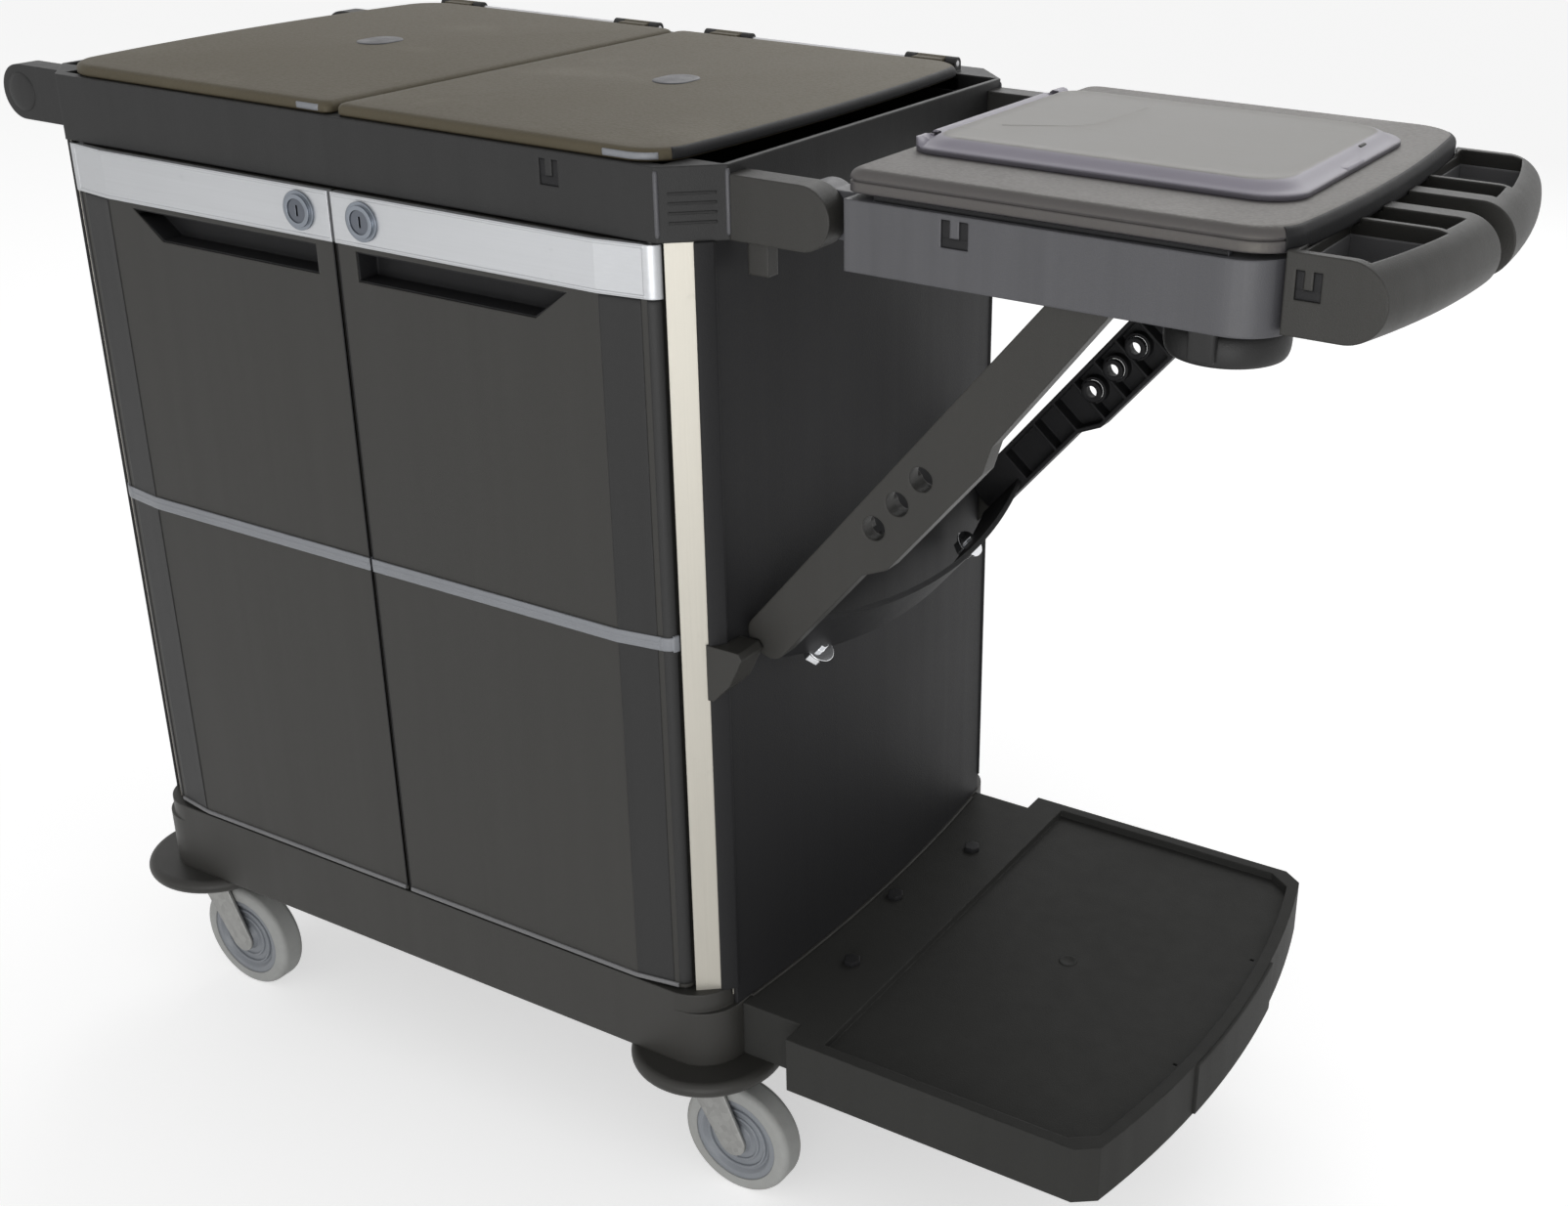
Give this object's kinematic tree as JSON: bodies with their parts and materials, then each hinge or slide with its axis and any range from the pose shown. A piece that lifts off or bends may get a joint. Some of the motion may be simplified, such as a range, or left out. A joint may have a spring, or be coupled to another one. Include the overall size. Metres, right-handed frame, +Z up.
{
  "type": "janitor cart",
  "caption": "Two-door cleaning cart on swivel casters with a lidded top deck, a push bar, a folding lidded bag holder on struts and a low bucket platform.",
  "frame": {"origin": "middle of the overall length and depth, on the floor", "axes": "+X along the length towards the bag holder, -Y towards the doors, +Z up"},
  "size_m": [1.4636, 0.628, 1.0663],
  "materials": {
    "black_plastic": "fine moulded grain, satin",
    "grey_plastic": "fine moulded grain, satin",
    "lid_plastic": "leather-like moulded grain",
    "silver_aluminium": "satin anodised",
    "post_aluminium": "satin anodised, warm",
    "grey_trim": "satin",
    "smoky_plastic": "translucent, glossy",
    "chrome": "polished",
    "steel": "brushed",
    "zinc_steel": "zinc plated, satin",
    "grey_tyre": "non-marking rubber",
    "wheel_plastic": "moulded"
  },
  "bodies": {
    "cabinet": {"base_tray": "black_plastic", "corner_bumpers": "black_plastic", "corner_post_front_left": "post_aluminium", "corner_post_front_right": "post_aluminium", "corner_post_rear_left": "post_aluminium", "corner_post_rear_right": "post_aluminium", "end_panel_left": "black_plastic", "end_panel_right": "black_plastic", "back_panel": "black_plastic", "middle_shelf": "black_plastic", "shelf_brackets": "zinc_steel", "top_deck": "black_plastic", "handle_arms": "black_plastic", "push_bar": "black_plastic", "bag_hinge_arms": "grey_plastic", "bag_hinge_pins": "steel", "strut_catches": "grey_plastic", "lower_platform": "black_plastic", "platform_bolts": "grey_plastic", "door_hinge_pins": "steel", "lid_hinge_rods": "steel", "caster_kingpins": "steel"},
    "bag_frame": {"bag_frame": "grey_plastic", "bag_end_tray": "grey_plastic", "hook_ring": "black_plastic", "strut_pins": "steel", "bag_lid_rod": "steel"},
    "strut_yoke": {"strut_front": "grey_plastic", "strut_rear": "grey_plastic", "strut_apron": "black_plastic", "strut_bolts": "chrome"},
    "bag_lid": {"bag_lid": "black_plastic", "paper_tray": "black_plastic", "cover_pin": "steel"},
    "smoky_cover": {"smoky_cover": "smoky_plastic"},
    "door_left": {"door_panel_left": "black_plastic", "door_rail_left": "silver_aluminium", "door_strip_left": "grey_trim", "lock_rosette_left": "chrome"},
    "lock_left": {"lock_barrel_left": "steel"},
    "lid_left": {"deck_lid_left": "lid_plastic"},
    "door_right": {"door_panel_right": "black_plastic", "door_rail_right": "silver_aluminium", "door_strip_right": "grey_trim", "lock_rosette_right": "chrome"},
    "lock_right": {"lock_barrel_right": "steel"},
    "lid_right": {"deck_lid_right": "lid_plastic"},
    "swivel_front_left": {"fork_front_left": "zinc_steel"},
    "wheel_front_left": {"hub_front_left": "wheel_plastic", "tyre_front_left": "grey_tyre"},
    "swivel_front_right": {"fork_front_right": "zinc_steel"},
    "wheel_front_right": {"hub_front_right": "wheel_plastic", "tyre_front_right": "grey_tyre"},
    "swivel_rear_left": {"fork_rear_left": "zinc_steel"},
    "wheel_rear_left": {"hub_rear_left": "wheel_plastic", "tyre_rear_left": "grey_tyre"},
    "swivel_rear_right": {"fork_rear_right": "zinc_steel"},
    "wheel_rear_right": {"hub_rear_right": "wheel_plastic", "tyre_rear_right": "grey_tyre"}
  },
  "joints": [
    {"name": "door_left_hinge", "type": "hinge", "parent": "cabinet", "child": "door_left", "pos_m": [-0.58085, -0.265, 0.615], "axis": [0, 0, 1], "range_deg": [-105, 0]},
    {"name": "lock_left_turn", "type": "hinge", "parent": "door_left", "child": "lock_left", "pos_m": [-0.27685, -0.282, 0.959], "axis": [0, 1, 0], "range_deg": [0, 90]},
    {"name": "lid_left_hinge", "type": "hinge", "parent": "cabinet", "child": "lid_left", "pos_m": [-0.42485, 0.246, 1.052], "axis": [-1, 0, 0], "range_deg": [0, 95]},
    {"name": "door_right_hinge", "type": "hinge", "parent": "cabinet", "child": "door_right", "pos_m": [0.10315, -0.265, 0.615], "axis": [0, 0, 1], "range_deg": [0, 105]},
    {"name": "lock_right_turn", "type": "hinge", "parent": "door_right", "child": "lock_right", "pos_m": [-0.20085, -0.282, 0.959], "axis": [0, -1, 0], "range_deg": [0, 90]},
    {"name": "lid_right_hinge", "type": "hinge", "parent": "cabinet", "child": "lid_right", "pos_m": [-0.05285, 0.246, 1.052], "axis": [-1, 0, 0], "range_deg": [0, 95]},
    {"name": "bag_fold", "type": "hinge", "parent": "cabinet", "child": "bag_frame", "pos_m": [0.22715, 0, 1.01], "axis": [0, 1, 0], "range_deg": [0, 80]},
    {"name": "strut_swing", "type": "hinge", "parent": "bag_frame", "child": "strut_yoke", "pos_m": [0.47615, 0, 0.98], "axis": [0, 1, 0], "range_deg": [-114, 0]},
    {"name": "bag_lid_hinge", "type": "hinge", "parent": "bag_frame", "child": "bag_lid", "pos_m": [0.26715, 0, 1.043], "axis": [0, -1, 0], "range_deg": [0, 80]},
    {"name": "smoky_cover_hinge", "type": "hinge", "parent": "bag_lid", "child": "smoky_cover", "pos_m": [0.27515, 0, 1.059], "axis": [0, -1, 0], "range_deg": [0, 75]},
    {"name": "swivel_front_left", "type": "hinge", "parent": "cabinet", "child": "swivel_front_left", "pos_m": [-0.58485, -0.236, 0.132], "axis": [0, 0, 1], "continuous": true},
    {"name": "wheel_front_left", "type": "hinge", "parent": "swivel_front_left", "child": "wheel_front_left", "pos_m": [-0.54685, -0.236, 0.0625], "axis": [0, 1, 0], "continuous": true},
    {"name": "swivel_front_right", "type": "hinge", "parent": "cabinet", "child": "swivel_front_right", "pos_m": [0.10715, -0.236, 0.132], "axis": [0, 0, 1], "continuous": true},
    {"name": "wheel_front_right", "type": "hinge", "parent": "swivel_front_right", "child": "wheel_front_right", "pos_m": [0.14515, -0.236, 0.0625], "axis": [0, 1, 0], "continuous": true},
    {"name": "swivel_rear_left", "type": "hinge", "parent": "cabinet", "child": "swivel_rear_left", "pos_m": [-0.58485, 0.236, 0.132], "axis": [0, 0, 1], "continuous": true},
    {"name": "wheel_rear_left", "type": "hinge", "parent": "swivel_rear_left", "child": "wheel_rear_left", "pos_m": [-0.54685, 0.236, 0.0625], "axis": [0, 1, 0], "continuous": true},
    {"name": "swivel_rear_right", "type": "hinge", "parent": "cabinet", "child": "swivel_rear_right", "pos_m": [0.10715, 0.236, 0.132], "axis": [0, 0, 1], "continuous": true},
    {"name": "wheel_rear_right", "type": "hinge", "parent": "swivel_rear_right", "child": "wheel_rear_right", "pos_m": [0.14515, 0.236, 0.0625], "axis": [0, 1, 0], "continuous": true}
  ],
  "couplings": [
    {"joint": "strut_swing", "follows": "bag_fold", "ratio": -1.4156}
  ]
}
